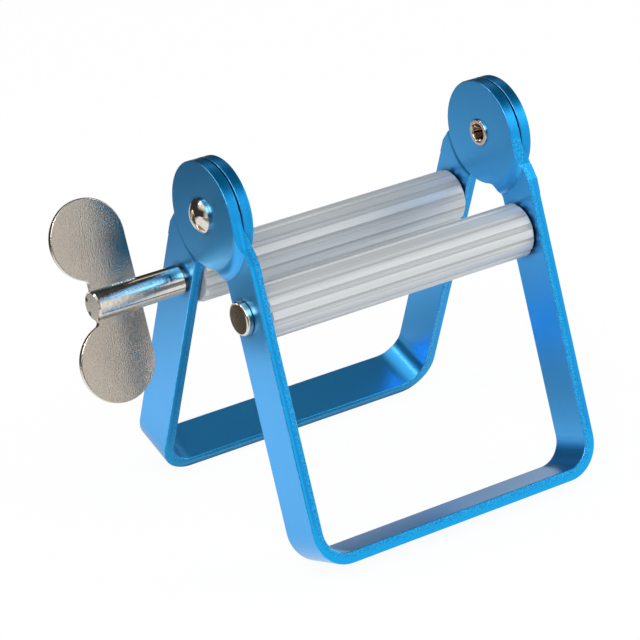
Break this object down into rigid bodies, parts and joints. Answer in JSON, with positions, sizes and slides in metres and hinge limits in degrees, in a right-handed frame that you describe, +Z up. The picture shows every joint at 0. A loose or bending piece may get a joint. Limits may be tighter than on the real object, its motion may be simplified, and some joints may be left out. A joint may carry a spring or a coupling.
{
  "type": "tube squeezer",
  "caption": "Hand tube squeezer: blue bent strips hinged at their round ears, fluted rollers between the legs, and a winged key that winds the tube through.",
  "frame": {"origin": "centre of the object's footprint box, on the surface it stands on", "axes": "+Z up, +X along the rollers away from the key, -Y towards the front bracket"},
  "size_m": [0.1114, 0.0782, 0.0886],
  "materials": {
    "blue_anodised": "satin blue anodised, fine grained faces and brighter sheared edges",
    "bare_aluminium": "extruded, plain, with fine lengthwise lines",
    "nickel_plate": "polished nickel plate on steel",
    "satin_nickel": "tumbled satin nickel plate with a fine pebbled grain",
    "washer_steel": "plain"
  },
  "bodies": {
    "front": {"front_bracket": "blue_anodised", "left_rivet": "nickel_plate", "right_rivet": "nickel_plate", "left_washer": "washer_steel", "right_washer": "washer_steel"},
    "rear": {"rear_bracket": "blue_anodised"},
    "idler": {"idler_roller": "bare_aluminium", "idler_axle": "nickel_plate"},
    "drive": {"drive_roller": "bare_aluminium", "drive_shaft": "nickel_plate", "key_plate": "satin_nickel"}
  },
  "joints": [
    {"name": "bracket_hinge", "type": "hinge", "parent": "front", "child": "rear", "pos_m": [0.01277, 0, 0.07637], "axis": [1, 0, 0], "range_deg": [-34.9, 140]},
    {"name": "idler_spin", "type": "hinge", "parent": "front", "child": "idler", "pos_m": [0.01277, -0.01302, 0.05614], "axis": [1, 0, 0], "continuous": true},
    {"name": "key_turn", "type": "hinge", "parent": "rear", "child": "drive", "pos_m": [0.01277, 0.01302, 0.05614], "axis": [1, 0, 0], "continuous": true}
  ]
}
